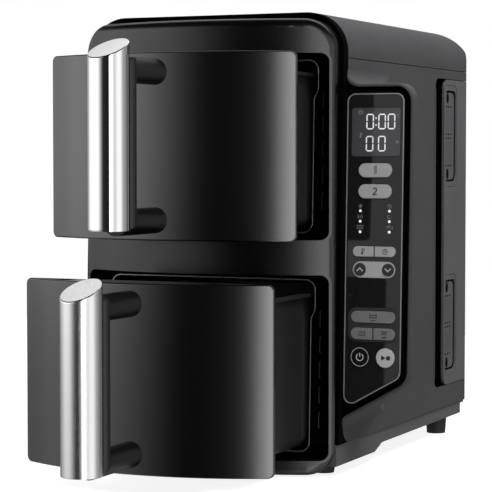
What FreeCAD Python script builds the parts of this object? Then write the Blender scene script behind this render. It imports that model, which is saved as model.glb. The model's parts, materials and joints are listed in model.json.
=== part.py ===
import FreeCAD, Part
import math
import os

os.makedirs("parts", exist_ok=True)
V = FreeCAD.Vector

# Air fryer with two stacked drawers and a control pod on its right side, in millimetres.
# While it is modelled, X is zero on the drawers' centre plane and grows to the right, Y grows from
# the front to the back and is zero near the body's front edge, and Z is zero on the worktop.
# The drawers stand partly open. At the end every piece moves so that the origin is the bottom
# centre of the whole object.

# Body shell
BODY_W = 239.0
BODY_D = 328.0
BODY_BOTTOM = 27.0
TOP_CORNER = 34.0
REAR_TOP_ROUND = 36.0
REAR_CORNER = 14.0
WALL = 2.5
SEAM_GAP = 0.6
SHELL_CORNER = 15.0
BODY_HALF = BODY_W / 2

# Heights of the stack: lower drawer, mid band, upper drawer, header
FRONT_H = 151.5
LOWER_BASE = 15.5
MID_BAND = 31.7
HEADER = 30.0
LEVELS = {"upper": LOWER_BASE + FRONT_H + MID_BAND, "lower": LOWER_BASE}
FASCIA_TOP = LEVELS["upper"] + FRONT_H + HEADER
BODY_TOP = FASCIA_TOP + 6.3
SEAM_Z = BODY_TOP - 38.5

# Raked plane that parts the front from the body shell
RAKE_DEG = 1.98
SPLIT_Y = -4.0
SPLIT_Z = 200.0
COLLAR_DEPTH = 10.0
COLLAR_WALL = 3.0
BULKHEAD = 4.0

# Curved front fascia
FASCIA_W = BODY_W - 6.0
FASCIA_BOTTOM = 1.2
FASCIA_TOP_CORNER = 26.0
FASCIA_BOTTOM_CORNER = 24.0
FASCIA_APEX = -53.0
FRONT_RADIUS = 230.0
FASCIA_WALL = 4.0
FASCIA_EDGE_ROUND = 8.0
SLEEVE_WALL = 2.5
SLEEVE_FIT = 0.2

# Drawer fronts and their openings
FRONT_W = BODY_W - 17.0
FRONT_THICK = 3.0
FRONT_CORNER = 5.0
FRONT_EDGE_ROUND = 1.2
FRONT_BACK = -22.0
FRONT_BACK_THICK = 2.5
FRONT_GAP = 1.3
OPENING_CORNER = 7.0
PULLED_OUT = {"upper": 65.0, "lower": 109.0}
MOUNT_BOX_W = FRONT_W - 98.0
MOUNT_BOX_WALL = 2.5
NECK_W = MOUNT_BOX_W - 6.0
NECK_LOW = 8.5
NECK_HIGH = FRONT_H - 21.0

# Cavity liners, heights above the drawer front's lower edge
LINER_HALF = FRONT_W / 2 - 19.0
LINER_SHEET = 1.0
LINER_FLOOR = 4.5
LINER_CEILING = FRONT_H - 4.0
LINER_CORNER = 8.0
LINER_STEP_OUT = 3.5
LINER_STEP_LOW = FRONT_H - 35.5
LINER_STEP_HIGH = FRONT_H - 28.5
LINER_PROUD = 4.0
LINER_BACK = BODY_D - 66.0
LINER_FIT = 0.4
RAIL_W = 6.0
RAIL_START = 4.0
RIB_COUNT = 5
RIB_LOW = 24.0
RIB_PITCH = (FRONT_H - 46.5) / RIB_COUNT
RIB_SIZE = (2.0, 2.0, 14.0)
RIB_OFFSET = 4.5

# Baskets, heights above the drawer front's lower edge
RUNNER_GAP = 0.3
BASKET_HALF = LINER_HALF - 3.0
BASKET_FRONT = -6.0
BASKET_BACK = LINER_BACK - 50.0
BASKET_LOW = 7.5
BASKET_TOP = FRONT_H - 14.5
RAIL_X = BASKET_HALF - 29.0
RAIL_LENGTH = BASKET_BACK - RAIL_START - 3.0
BASKET_SHEET = 1.4
BASKET_CORNER = 22.0
BASKET_FLOOR_ROUND = 10.0
RIM_OUT = 4.0
RIM_THICK = 3.0

# Crisper plates and their silicone feet
PLATE_GAP = 2.2
PLATE_THICK = 1.5
PLATE_LIFT = 11.0
PLATE_COLUMNS = 5
PLATE_ROWS = 6
PLATE_SLOT = (20.0, 6.0)
PLATE_PITCH = ((2 * BASKET_HALF - 23.0) / PLATE_COLUMNS, (BASKET_BACK - BASKET_FRONT - 32.0) / PLATE_ROWS)
PLATE_FOOT_R = 6.0
PLATE_FOOT_INSET = 22.0

# Handles
HANDLE_REACH = 80.5
HANDLE_HALF_W = 15.5
HANDLE_HALF_D = 11.5
HANDLE_LOW = 10.3
HANDLE_HIGH = FRONT_H - 2.5
HANDLE_SLANT_DEG = 27.0
HANDLE_SIDE_SLANT_DEG = 6.5
SPINE_HALF_W = 12.5
SPINE_FRONT = 3.0
SPINE_BACK = 17.0
SPINE_CORNER = 4.0
SPINE_DROP = 6.0
SPINE_FIT = 0.1
POST_R = 10.5
POST_HEIGHTS = (16.5, FRONT_H - 16.0)
POST_FIT = 0.1
HANDLE_SCREW_R = 4.0
HANDLE_SCREW_HEAD = 3.0

# Control pod and panel outline on the right side
PANEL_W = 50.0
PANEL_LEFT = BODY_HALF + 1.0
PANEL_RIGHT = PANEL_LEFT + PANEL_W
PANEL_MID = PANEL_LEFT + PANEL_W / 2 + 0.5
PANEL_TOP = BODY_TOP - 68.0
PANEL_LOW_RIGHT = PANEL_TOP - 234.0
PANEL_LOW_LEFT = PANEL_TOP - 262.2
PANEL_CORNER = 7.0
PANEL_LOW_CORNER = 9.0
PLATE_MARGIN = 2.6
POD_MARGIN = 8.0
POD_WALL = 2.4
POD_HOOK = 13.0
POD_EDGE = 7.5
POD_SWEEP_END = 112.0
POD_SINK = 0.6
POD_EDGE_ROUND = 2.4
POD_PLATE = 2.5
PANEL_LEDGE = 3.0
PANEL_SEAT = 0.5
PANEL_FIT = 0.15
OUTLINE_W = 0.9
OUTLINE_PROUD = 0.2
BOARD_OFFSET = 5.0
BOARD_THICK = 1.6
BOARD_STANDOFF_R = 2.5

# Keys, lamps and display on the panel: centre X, centre Z, width, height, corner radius
KEY_GAP = 0.35
KEY_PROUD = 0.6
KEY_BACK = 1.5
KEY_TRAVEL = 0.8
STEM_R = 1.5
STEM_LENGTH = 1.5
SWITCH_SPARE = 0.4
SWITCH_SIZE = 4.0
PAIR_SPLIT = 1.1
ZONE_KEY = (PANEL_W - 21.0, 11.5, 5.7)
ZONE_KEY_HEIGHTS = {"zone_1_key": PANEL_TOP - 63.5, "zone_2_key": PANEL_TOP - 80.9}
SET_KEY = (PANEL_W - 12.6, 8.4, 4.1)
SET_KEY_Z = PANEL_TOP - 130.6
ARROW_PILL = (PANEL_W - 12.6, 13.4, 6.6)
ARROW_PILL_Z = PANEL_TOP - 145.6
ARROW_KEY_R = 4.9
ARROW_KEY_DX = PANEL_W / 2 - 12.65
MODE_BOX = (PANEL_W - 6.5, 28.3, 6.5)
MODE_BOX_Z = PANEL_TOP - 191.2
MODE_KEY = (PANEL_W - 11.1, 9.7, 4.8)
MODE_KEY_HEIGHTS = (PANEL_TOP - 184.7, PANEL_TOP - 198.6)
ROUND_KEY_R = 8.0
ROUND_KEY_DX = PANEL_W / 2 - 13.8
ROUND_KEY_Z = PANEL_TOP - 218.1
LAMP_R = 1.1
LAMP_DX = PANEL_W / 2 - 12.2
LAMP_HEIGHTS = (PANEL_TOP - 97.1, PANEL_TOP - 105.7, PANEL_TOP - 114.4)
LAMP_FIT = 0.1
DISPLAY = (PANEL_W - 7.6, 40.0, 2.0)
DISPLAY_Z = PANEL_TOP - 32.0
TRIM_PROUD = 0.2
TRIM_FIT = 0.1

# Rear cover, side vents and the dark channel in front of them
EAR_START = BODY_D - 78.0
EAR_LOW = 47.5
EAR_HIGH = SEAM_Z - 9.0
EAR_CORNER = 9.0
CHANNEL_W = 26.0
EAR_GAP = 0.6
REAR_GAP = 0.4
REAR_HALF = BODY_HALF - 15.5
CHANNEL_SHEET = 2.0
CHANNEL_DEPTH = 8.0
CHANNEL_LAP = 6.0
CHANNEL_EAR_LAP = 0.8
RIDGE_R = 1.4
VENT_W = 37.0
VENT_H = 97.0
VENT_CORNER = 9.0
VENT_CENTRE_Y = EAR_START + 19.5
VENT_HEIGHTS = (EAR_HIGH - 53.5, EAR_LOW + 57.0)
VENT_RECESS = 1.6
VENT_FIT = 0.3
VENT_SLOTS = 7
VENT_SLOT = (1.6, 58.0)
VENT_SLOT_PITCH = 3.4
VENT_END_HOLE = (5.0, 13.0)
VENT_END_DY = 9.0
VENT_END_DZ = 40.0

# Base tray and feet
BASE_INSET = 1.5
BASE_BACK = BODY_D - 10.0
BASE_LEDGE_LAP = 10.0
BASE_STEP_Y = (70.0, 88.0)
BASE_LOW = 9.0
BASE_REAR_LOW = 15.0
BASE_ROUND = 8.0
BASE_REAR_ROUND = 11.0
FOOT_R = 10.0
FOOT_FLARE = 1.2
FRONT_FOOT = (BODY_HALF - 22.5, 4.0)
REAR_FOOT = (BODY_HALF - 12.5, BODY_D - 62.0)

# Heaters, fans and motors behind each cavity
GUARD_Y = LINER_BACK - 40.0
GUARD_SHEET = 1.2
GUARD_FIT = 0.25
GUARD_SLOTS = 20
GUARD_SLOT = (18.0, 52.0, 3.2)
HEATER_Y = LINER_BACK - 20.0
HEATER_R = 57.0
HEATER_TUBE = 3.2
HEATER_LEAD_DX = 12.0
HEATER_LEAD_END = LINER_BACK + 10.0
HEATER_FIT = 0.4
HEATER_BLOCK = (38.0, 9.0, 12.0)
FAN_R = 42.0
FAN_HUB_R = 8.0
FAN_FRONT = LINER_BACK - 26.0
FAN_BACK = LINER_BACK - 6.0
FAN_BLADES = 9
FAN_BLADE = 1.4
FAN_DISC = 1.4
SHAFT_R = 3.0
SHAFT_FIT = 0.05
SHAFT_PASS = 3.0
MOTOR_R = 30.0
MOTOR_END = LINER_BACK + 36.0
MOTOR_CAP_R = 14.0
MOTOR_CAP = 5.0

# Boards, cord inlet and fasteners
POWER_BOARD = (1.6, 150.0, 110.0)
POWER_BOARD_X = 8.5 - BODY_HALF
POWER_BOARD_Y = 60.0
POWER_BOARD_Z = 90.0
POWER_POST_R = 3.0
POWER_PARTS = ((20.0, 20.0, 8.0), (60.0, 30.0, 10.0), (105.0, 25.0, 7.0))
POWER_PART_SIZE = (24.0, 40.0)
INLET_R = 9.0
INLET_BORE = 4.5
INLET_PROUD = 3.0
INLET_X = REAR_HALF - 24.0
INLET_Z = 58.0
SCREW_R = 3.0
SCREW_HEAD = 1.6
REAR_SCREW_X = REAR_HALF - 8.0
REAR_SCREW_Z = (BODY_BOTTOM + 9.0, (BODY_BOTTOM + SEAM_Z) / 2, SEAM_Z - 6.0)

FAR = 600.0
POD_RIGHT = PANEL_RIGHT + POD_MARGIN


# Outlines and prisms


def rounded_wire(points, to_space):
    """Closed wire through (u, v, radius) corners, each corner rounded by its radius."""
    corners = []
    count = len(points)
    for i in range(count):
        u, v, radius = points[i]
        here = FreeCAD.Vector(u, v, 0)
        before = FreeCAD.Vector(points[i - 1][0], points[i - 1][1], 0) - here
        after = FreeCAD.Vector(points[(i + 1) % count][0], points[(i + 1) % count][1], 0) - here
        before.normalize()
        after.normalize()
        if radius == 0:
            corners.append((here, None, here))
            continue
        half = before.getAngle(after) / 2
        reach = radius / math.tan(half)
        middle = before + after
        middle.normalize()
        inner = here + middle * (radius / math.sin(half) - radius)
        corners.append((here + before * reach, inner, here + after * reach))
    edges = []
    for i in range(count):
        start, inner, end = corners[i]
        if inner is not None:
            arc = Part.Arc(to_space(start), to_space(inner), to_space(end))
            edges.append(arc.toShape())
        following = corners[(i + 1) % count][0]
        if end.distanceToPoint(following) > 1e-6:
            edges.append(Part.LineSegment(to_space(end), to_space(following)).toShape())
    return Part.Wire(edges)


def prism_x(points, x0, x1):
    """Solid with a (y, z) outline, from x0 to x1."""
    face = Part.Face(rounded_wire(points, lambda p: V(x0, p.x, p.y)))
    return face.extrude(V(x1 - x0, 0, 0))


def prism_y(points, y0, y1):
    """Solid with an (x, z) outline, from y0 to y1."""
    face = Part.Face(rounded_wire(points, lambda p: V(p.x, y0, p.y)))
    return face.extrude(V(0, y1 - y0, 0))


def prism_z(points, z0, z1):
    """Solid with an (x, y) outline, from z0 to z1."""
    face = Part.Face(rounded_wire(points, lambda p: V(p.x, p.y, z0)))
    return face.extrude(V(0, 0, z1 - z0))


def rect(u0, u1, v0, v1, low=0.0, high=None):
    """Corners of a rectangle, with one radius for its lower and one for its upper corners."""
    top = low if high is None else high
    return [(u0, v0, low), (u1, v0, low), (u1, v1, top), (u0, v1, top)]


def centred(u, v, size, grow=0.0):
    """Rounded rectangle about a centre, grown all round."""
    width, height, radius = size
    half_w = width / 2 + grow
    half_h = height / 2 + grow
    return rect(u - half_w, u + half_w, v - half_h, v + half_h, max(radius + grow, 0.05))


def box(x0, x1, y0, y1, z0, z1):
    return Part.makeBox(x1 - x0, y1 - y0, z1 - z0, V(x0, y0, z0))


def rod_y(x, z, radius, y0, y1):
    return Part.makeCylinder(radius, y1 - y0, V(x, y0, z), V(0, 1, 0))


def join(shapes):
    result = shapes[0]
    if len(shapes) > 1:
        result = shapes[0].fuse(shapes[1:])
    return result.removeSplitter()


def raked(shape):
    """Lean a shape that was drawn from the parting plane, so that it follows the rake."""
    turn = FreeCAD.Rotation(V(1, 0, 0), -RAKE_DEG)
    leaned = shape.copy()
    leaned.Placement = FreeCAD.Placement(V(0, SPLIT_Y, SPLIT_Z), turn).multiply(shape.Placement)
    return leaned


def slab(y0, y1):
    """Everything between two planes parallel to the parting plane."""
    return raked(box(-FAR, FAR, y0, y1, -FAR, FAR))


def front_cylinder(radius, apex):
    """Upright cylinder whose front reaches the apex."""
    return Part.makeCylinder(radius, FAR, V(0, apex + FRONT_RADIUS, -FAR / 10), V(0, 0, 1))


# Body shell


def body_section(inset):
    """Front view of the body, with its rounded top edges."""
    half = BODY_HALF - inset
    return rect(-half, half, BODY_BOTTOM, BODY_TOP - inset, 0, TOP_CORNER - inset)


def body_plan(inset):
    half = BODY_HALF - inset
    return rect(-half, half, -FAR / 10, BODY_D - inset, 0, REAR_CORNER - inset)


def body_walls():
    """Upright walls of the body between the base and the top seam, open at the front."""
    outer = prism_z(body_plan(0), BODY_BOTTOM, SEAM_Z)
    inner = prism_z(body_plan(WALL), BODY_BOTTOM, SEAM_Z)
    return outer.cut(inner).common(slab(0, FAR))


def top_block(inset):
    low = SEAM_Z + SEAM_GAP - (inset and FAR / 10)
    back = BODY_D - inset
    top = BODY_TOP - inset
    front = -FAR / 10
    side_view = [(front, low, 0), (back, low, 0), (back, top, REAR_TOP_ROUND - inset), (front, top, 0)]
    block = prism_y(body_section(inset), -FAR / 10, BODY_D)
    return block.common(prism_x(side_view, -FAR, FAR)).common(prism_z(body_plan(inset), low, BODY_TOP))


def make_top_cover():
    return top_block(0).cut(top_block(WALL)).common(slab(0, FAR))


def rear_region(grow):
    """What belongs to the rear cover: the back between its corners and an ear on each side."""
    back = box(-REAR_HALF - grow, REAR_HALF + grow, BODY_D - REAR_CORNER, FAR, -FAR, FAR)
    return back.fuse(ear_block(EAR_START, 0, EAR_CORNER))


def ear_block(start, grow, corner):
    """Block through both sides behind a front edge with rounded corners."""
    low = EAR_LOW - grow
    high = EAR_HIGH + grow
    return prism_x([(start, low, corner), (FAR, low, 0), (FAR, high, 0), (start, high, corner)], -FAR, FAR)


def vent_outline(height, grow):
    return centred(VENT_CENTRE_Y, height, (VENT_W, VENT_H, VENT_CORNER), grow)


def make_rear_cover():
    cover = body_walls().common(rear_region(0))
    for height in VENT_HEIGHTS:
        cover = cover.cut(prism_x(vent_outline(height, 0), -FAR, FAR))
    for x, z in rear_screw_places():
        cover = cover.cut(rod_y(x, z, SCREW_R / 2, BODY_D - WALL, BODY_D))
    return cover.cut(rod_y(INLET_X, INLET_Z, INLET_R, BODY_D - WALL, BODY_D))


def side_walls(side):
    """One side of the body, with a notch for the ear and the dark channel in front of it."""
    half_space = box(0, FAR, -FAR, FAR, -FAR, FAR) if side > 0 else box(-FAR, 0, -FAR, FAR, -FAR, FAR)
    wall = body_walls().common(half_space)
    notch = ear_block(EAR_START - CHANNEL_W, EAR_GAP, EAR_CORNER)
    wall = wall.cut(notch).cut(rear_region(REAR_GAP)).cut(shell_corner())
    bead = Part.makeCylinder(
        RIDGE_R, EAR_HIGH - EAR_LOW - 2 * EAR_CORNER,
        V(side * (BODY_HALF - RIDGE_R / 3), EAR_START - CHANNEL_W - RIDGE_R, EAR_LOW + EAR_CORNER))
    return wall.fuse(bead)


def shell_corner():
    """Corner of the side shells above the base that is rounded off at the front."""
    low = V(-FAR, SHELL_CORNER, BODY_BOTTOM - SPLIT_Z + SHELL_CORNER)
    corner = box(-FAR, FAR, 0, SHELL_CORNER, -FAR, BODY_BOTTOM - SPLIT_Z + SHELL_CORNER)
    return raked(corner.cut(Part.makeCylinder(SHELL_CORNER, 2 * FAR, low, V(1, 0, 0))))


def make_vent_channels():
    """Dark troughs behind the gaps between the side shells and the rear cover's ears."""
    strips = []
    for side in (-1, 1):
        outer = BODY_HALF - WALL
        floor = outer - CHANNEL_DEPTH
        start = EAR_START - CHANNEL_W - CHANNEL_LAP
        end = EAR_START + CHANNEL_EAR_LAP
        low = EAR_LOW - CHANNEL_LAP
        high = EAR_HIGH + CHANNEL_LAP
        trough = box(floor - CHANNEL_SHEET, outer, start, end, low, high)
        space = box(floor, outer, start + CHANNEL_SHEET, end - CHANNEL_EAR_LAP,
                    low + CHANNEL_SHEET, high - CHANNEL_SHEET)
        trough = trough.cut(space)
        if side < 0:
            trough = trough.mirror(V(0, 0, 0), V(1, 0, 0))
        strips.append(trough)
    return Part.makeCompound(strips)


def make_vent_grilles(side):
    """Two slotted inserts set into one ear of the rear cover."""
    grilles = []
    for height in VENT_HEIGHTS:
        outer = side * (BODY_HALF - VENT_RECESS)
        inner = side * (BODY_HALF - WALL)
        grille = prism_x(vent_outline(height, -VENT_FIT), inner, outer)
        cuts = []
        for i in range(VENT_SLOTS):
            y = VENT_CENTRE_Y + (i - (VENT_SLOTS - 1) / 2) * VENT_SLOT_PITCH
            slot = (VENT_SLOT[0], VENT_SLOT[1], VENT_SLOT[0] / 2.01)
            cuts.append(prism_x(centred(y, height, slot), -FAR * side, FAR * side))
        for dy in (-VENT_END_DY, VENT_END_DY):
            for dz in (-VENT_END_DZ, VENT_END_DZ):
                hole = (VENT_END_HOLE[0], VENT_END_HOLE[1], VENT_END_HOLE[0] / 2.01)
                cuts.append(prism_x(centred(VENT_CENTRE_Y + dy, height + dz, hole), -FAR * side, FAR * side))
        grilles.append(grille.cut(cuts))
    return Part.makeCompound(grilles)


def rear_screw_places():
    return [(side * REAR_SCREW_X, z) for side in (-1, 1) for z in REAR_SCREW_Z]


def make_rear_screws():
    screws = []
    for x, z in rear_screw_places():
        shank = rod_y(x, z, SCREW_R / 2, BODY_D - WALL, BODY_D)
        screws.append(shank.fuse(rod_y(x, z, SCREW_R, BODY_D, BODY_D + SCREW_HEAD)).removeSplitter())
    return Part.makeCompound(screws)


def make_cord_inlet():
    """Collar in the rear cover through which the mains lead enters."""
    collar = rod_y(INLET_X, INLET_Z, INLET_R, BODY_D - WALL, BODY_D + INLET_PROUD)
    return collar.cut(rod_y(INLET_X, INLET_Z, INLET_BORE, BODY_D - WALL, BODY_D + INLET_PROUD))


# Control pod


def panel_low(x, margin):
    """Height of the slanted lower edge of the panel outline, grown by a margin."""
    slope = (PANEL_LOW_RIGHT - PANEL_LOW_LEFT) / (PANEL_RIGHT - PANEL_LEFT)
    return PANEL_LOW_RIGHT + slope * (x - PANEL_RIGHT) - margin * math.hypot(1, slope)


def panel_outline(margin):
    """Front view of the panel, grown by a margin."""
    left = PANEL_LEFT - margin
    right = PANEL_RIGHT + margin
    return [
        (left, panel_low(left, margin), PANEL_CORNER + margin),
        (right, panel_low(right, margin), PANEL_LOW_CORNER + margin),
        (right, PANEL_TOP + margin, PANEL_CORNER + margin),
        (left, PANEL_TOP + margin, PANEL_CORNER + margin)]


def pod_outline(margin, side=BODY_HALF):
    """Front view of the pod, running into the body's side with a hollow round above and below."""
    inside = BODY_HALF - WALL - COLLAR_WALL
    right = PANEL_RIGHT + margin
    top = PANEL_TOP + margin
    low = panel_low(side, margin)
    return [
        (inside, low - POD_HOOK, 0),
        (side, low - POD_HOOK, 0),
        (side, low, POD_HOOK),
        (right, panel_low(right, margin), PANEL_LOW_CORNER + margin),
        (right, top, PANEL_CORNER + margin),
        (side, top, POD_HOOK),
        (side, top + POD_HOOK + 1, 0),
        (inside, top + POD_HOOK + 1, 0)]


def pod_sweep(inset, inside):
    """Plan of the pod: a thin right edge and a hollow sweep back to the body's side."""
    foot = BODY_HALF - POD_SINK
    width = POD_RIGHT - foot
    depth = POD_SWEEP_END - POD_EDGE
    radius = (width * width + depth * depth) / (2 * width)
    centre = V(foot + radius, POD_SWEEP_END, -FAR)
    plan = box(inside, POD_RIGHT - inset, -FAR, POD_SWEEP_END, -FAR, FAR)
    return raked(plan.cut(Part.makeCylinder(radius + inset, 2 * FAR, centre)))


def frame_heels():
    """Parts of the front frame that fill the rounded corners of the side shells."""
    walls = prism_z(body_plan(0), BODY_BOTTOM, SEAM_Z).cut(prism_z(body_plan(WALL), BODY_BOTTOM, SEAM_Z))
    return walls.common(shell_corner())


def pod_front_edges(pod):
    """Outer edges of the pod's front face, apart from those on the body's side."""
    front = min(pod.Faces, key=lambda face: face.CenterOfMass.y)
    return [edge for edge in front.Edges if edge.CenterOfMass.x > BODY_HALF + OUTLINE_W]


def make_right_side_shell():
    inside = BODY_HALF - WALL
    pod = prism_y(pod_outline(POD_MARGIN), -FAR / 10, FAR / 3).common(pod_sweep(0, inside))
    pod = pod.common(slab(-POD_PLATE, FAR))
    shell = side_walls(1).fuse(pod.makeFillet(POD_EDGE_ROUND, pod_front_edges(pod)))
    hollow_depth = prism_y(pod_outline(POD_MARGIN - POD_WALL, inside), -FAR / 10, FAR / 3)
    hollow = hollow_depth.common(pod_sweep(POD_WALL, inside - WALL))
    plate_recess = prism_y(pod_outline(PLATE_MARGIN), -FAR / 10, FAR / 3).common(slab(-FAR / 10, 0))
    return shell.cut([hollow, plate_recess, collar_block(), frame_heels()]).removeSplitter()


def make_left_side_shell():
    shell = side_walls(-1)
    posts = []
    for y, z in power_board_posts():
        start = V(-BODY_HALF + WALL, y, z)
        posts.append(Part.makeCylinder(POWER_POST_R, POWER_BOARD_X + BODY_HALF - WALL, start, V(1, 0, 0)))
    return join([shell] + posts)


# Front frame, fascia and control panel


def opening(base, grow=0.0):
    """Opening for a drawer front in the fascia."""
    half = FRONT_W / 2 + FRONT_GAP + grow
    low = base - FRONT_GAP - grow
    high = base + FRONT_H + FRONT_GAP + grow
    return rect(-half, half, low, high, OPENING_CORNER + grow)


def collar_block():
    """Slice of the body's section just in front of the parting plane."""
    return prism_y(body_section(0), -FAR / 10, FAR / 10).common(slab(-COLLAR_DEPTH, 0))


def sleeve_blocks(grow):
    """Space of the drawer openings from the front back to the bulkhead."""
    blocks = [prism_y(opening(base, grow), -FAR / 4, FAR / 10) for base in LEVELS.values()]
    return [block.common(slab(-FAR, -BULKHEAD)) for block in blocks]


def liner_blocks(grow):
    return [prism_y(liner_outline(base, grow), -FAR / 10, FAR / 10) for base in LEVELS.values()]


def make_front_frame():
    """Dark frame between fascia and body: a rim, a bulkhead and the border of the control panel."""
    rim = collar_block()
    hollow = prism_y(body_section(COLLAR_WALL), -FAR / 10, FAR / 10)
    hollow = hollow.common(slab(-FAR / 10, -BULKHEAD))
    rim = rim.cut([hollow] + sleeve_blocks(SLEEVE_WALL + SLEEVE_FIT))
    plate = prism_y(pod_outline(PLATE_MARGIN), -FAR / 10, FAR / 10).common(slab(-POD_PLATE, 0))
    standoffs = [rod_y(x, z, BOARD_STANDOFF_R, -FAR / 10, FAR / 10) for x, z in board_corners()]
    standoffs = [post.common(slab(-PANEL_SEAT, BOARD_OFFSET)) for post in standoffs]
    ribs = []
    for base in LEVELS.values():
        for side in (-1, 1):
            for i in range(RIB_COUNT):
                ribs.append(throat_rib(side, base + RIB_LOW + i * RIB_PITCH))
    frame = join([rim, plate, frame_heels()] + standoffs + ribs)
    seat = prism_y(panel_outline(PANEL_FIT), -FAR / 10, FAR / 10).common(slab(-FAR / 10, -PANEL_SEAT))
    through = prism_y(panel_outline(-PANEL_LEDGE), -FAR / 10, FAR / 10)
    for post in standoffs:
        through = through.cut(post)
    return frame.cut([seat, through] + liner_blocks(LINER_SHEET + LINER_FIT))


def throat_rib(side, low):
    """Short upright rib on the bulkhead beside a cavity."""
    width, depth, height = RIB_SIZE
    x = side * (LINER_HALF + LINER_STEP_OUT + RIB_OFFSET)
    rib = box(x - width / 2, x + width / 2, -FAR / 10, FAR / 10, low, low + height)
    return rib.common(slab(-BULKHEAD - depth, -BULKHEAD))


def make_front_fascia():
    """Convex front moulding with an opening for each drawer."""
    def block(inset):
        half = FASCIA_W / 2 - inset
        outline = rect(-half, half, FASCIA_BOTTOM + inset, FASCIA_TOP - inset,
                       FASCIA_BOTTOM_CORNER - inset, FASCIA_TOP_CORNER - inset)
        solid = prism_y(outline, -FAR / 4, FAR / 10)
        solid = solid.common(front_cylinder(FRONT_RADIUS - inset, FASCIA_APEX))
        return solid.common(slab(-FAR, -COLLAR_DEPTH))

    outer = block(0)
    front_face = max(outer.Faces, key=lambda face: face.Area if face.CenterOfMass.y < FASCIA_APEX / 2 else 0)
    outer = outer.makeFillet(FASCIA_EDGE_ROUND, front_face.Edges)
    face = front_cylinder(FRONT_RADIUS, FASCIA_APEX)
    sleeves = [sleeve.common(face) for sleeve in sleeve_blocks(SLEEVE_WALL)]
    fascia = join([outer.cut(block(FASCIA_WALL))] + sleeves)
    return fascia.cut(sleeve_blocks(0))


def key_places():
    """Outline of every key in front view, by name; each function takes how much to grow it."""
    places = {}
    for name, z in ZONE_KEY_HEIGHTS.items():
        places[name] = lambda grow, z=z: centred(PANEL_MID, z, ZONE_KEY, grow)
    for name, side in (("temperature_key", -1), ("timer_key", 1)):
        places[name] = lambda grow, side=side: half_pill(side, SET_KEY_Z, SET_KEY, grow)
    for name, side in (("up_key", -1), ("down_key", 1)):
        size = (2 * ARROW_KEY_R, 2 * ARROW_KEY_R, ARROW_KEY_R - 0.01)
        x = PANEL_MID + side * ARROW_KEY_DX
        places[name] = lambda grow, x=x, size=size: centred(x, ARROW_PILL_Z, size, grow)
    places["stack_key"] = lambda grow: centred(PANEL_MID, MODE_KEY_HEIGHTS[0], MODE_KEY, grow)
    for name, side in (("finish_together_key", -1), ("same_settings_key", 1)):
        places[name] = lambda grow, side=side: half_pill(side, MODE_KEY_HEIGHTS[1], MODE_KEY, grow)
    for name, side in (("power_key", -1), ("start_key", 1)):
        size = (2 * ROUND_KEY_R, 2 * ROUND_KEY_R, ROUND_KEY_R - 0.01)
        x = PANEL_MID + side * ROUND_KEY_DX
        places[name] = lambda grow, x=x, size=size: centred(x, ROUND_KEY_Z, size, grow)
    return places


def half_pill(side, z, size, grow):
    """Left or right half of a pill, with square corners towards its other half."""
    width, height, radius = size
    split = PANEL_MID + side * (PAIR_SPLIT / 2 - grow)
    end = PANEL_MID + side * (width / 2 + grow)
    low = z - height / 2 - grow
    high = z + height / 2 + grow
    r = radius + grow
    corners = [(split, low, 0), (end, low, r), (end, high, r), (split, high, 0)]
    return corners if side > 0 else corners[::-1]


def key_centre(outline):
    us = [corner[0] for corner in outline]
    vs = [corner[1] for corner in outline]
    return (min(us) + max(us)) / 2, (min(vs) + max(vs)) / 2


def make_key(outline):
    """Key cap with a stem towards its switch."""
    cap = prism_y(outline, -FAR / 10, FAR / 10).common(slab(-POD_PLATE - KEY_PROUD, KEY_BACK))
    x, z = key_centre(outline)
    stem = rod_y(x, z, STEM_R, -FAR / 10, FAR / 10)
    stem = stem.common(slab(KEY_BACK - PANEL_SEAT, KEY_BACK + STEM_LENGTH))
    return join([cap, stem])


def lamp_places():
    return [(PANEL_MID + side * LAMP_DX, z) for side in (-1, 1) for z in LAMP_HEIGHTS]


def lamp_rod(x, z, grow, y0, y1):
    return rod_y(x, z, LAMP_R + grow, -FAR / 10, FAR / 10).common(slab(y0, y1))


def panel_layer(outline, y0, y1):
    return prism_y(outline, -FAR / 10, FAR / 10).common(slab(y0, y1))


def arrow_pill(grow=0.0):
    return centred(PANEL_MID, ARROW_PILL_Z, ARROW_PILL, grow)


def mode_box(grow=0.0):
    return centred(PANEL_MID, MODE_BOX_Z, MODE_BOX, grow)


def display_outline(grow=0.0):
    return centred(PANEL_MID, DISPLAY_Z, DISPLAY, grow)


ARROW_KEYS = ("up_key", "down_key")
MODE_KEYS = ("stack_key", "finish_together_key", "same_settings_key")


def make_control_panel():
    """Dark panel with windows for the display, the trims, the keys and the lamps."""
    panel = panel_layer(panel_outline(-OUTLINE_W), -POD_PLATE, -PANEL_SEAT)
    shapes = (arrow_pill, mode_box, display_outline)
    cuts = [prism_y(shape(TRIM_FIT), -FAR / 10, FAR / 10) for shape in shapes]
    for name, place in key_places().items():
        if name not in ARROW_KEYS + MODE_KEYS:
            cuts.append(prism_y(place(KEY_GAP), -FAR / 10, FAR / 10))
    for x, z in lamp_places():
        cuts.append(rod_y(x, z, LAMP_R + LAMP_FIT, -FAR / 10, FAR / 10))
    return panel.cut(cuts)


def make_panel_outline():
    ring = panel_layer(panel_outline(0), -POD_PLATE - OUTLINE_PROUD, -PANEL_SEAT)
    return ring.cut(prism_y(panel_outline(-OUTLINE_W), -FAR / 10, FAR / 10))


def make_trim(shape, key_names):
    """Flat trim of the panel with a hole for each of its keys."""
    trim = panel_layer(shape(0), -POD_PLATE - TRIM_PROUD, -PANEL_SEAT)
    places = key_places()
    return trim.cut([prism_y(places[name](KEY_GAP), -FAR / 10, FAR / 10) for name in key_names])


def make_display_window():
    return panel_layer(display_outline(), -POD_PLATE - TRIM_PROUD, -PANEL_SEAT)


def make_mode_lamps():
    rods = [lamp_rod(x, z, 0, -POD_PLATE - TRIM_PROUD, BOARD_OFFSET) for x, z in lamp_places()]
    return Part.makeCompound(rods)


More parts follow.
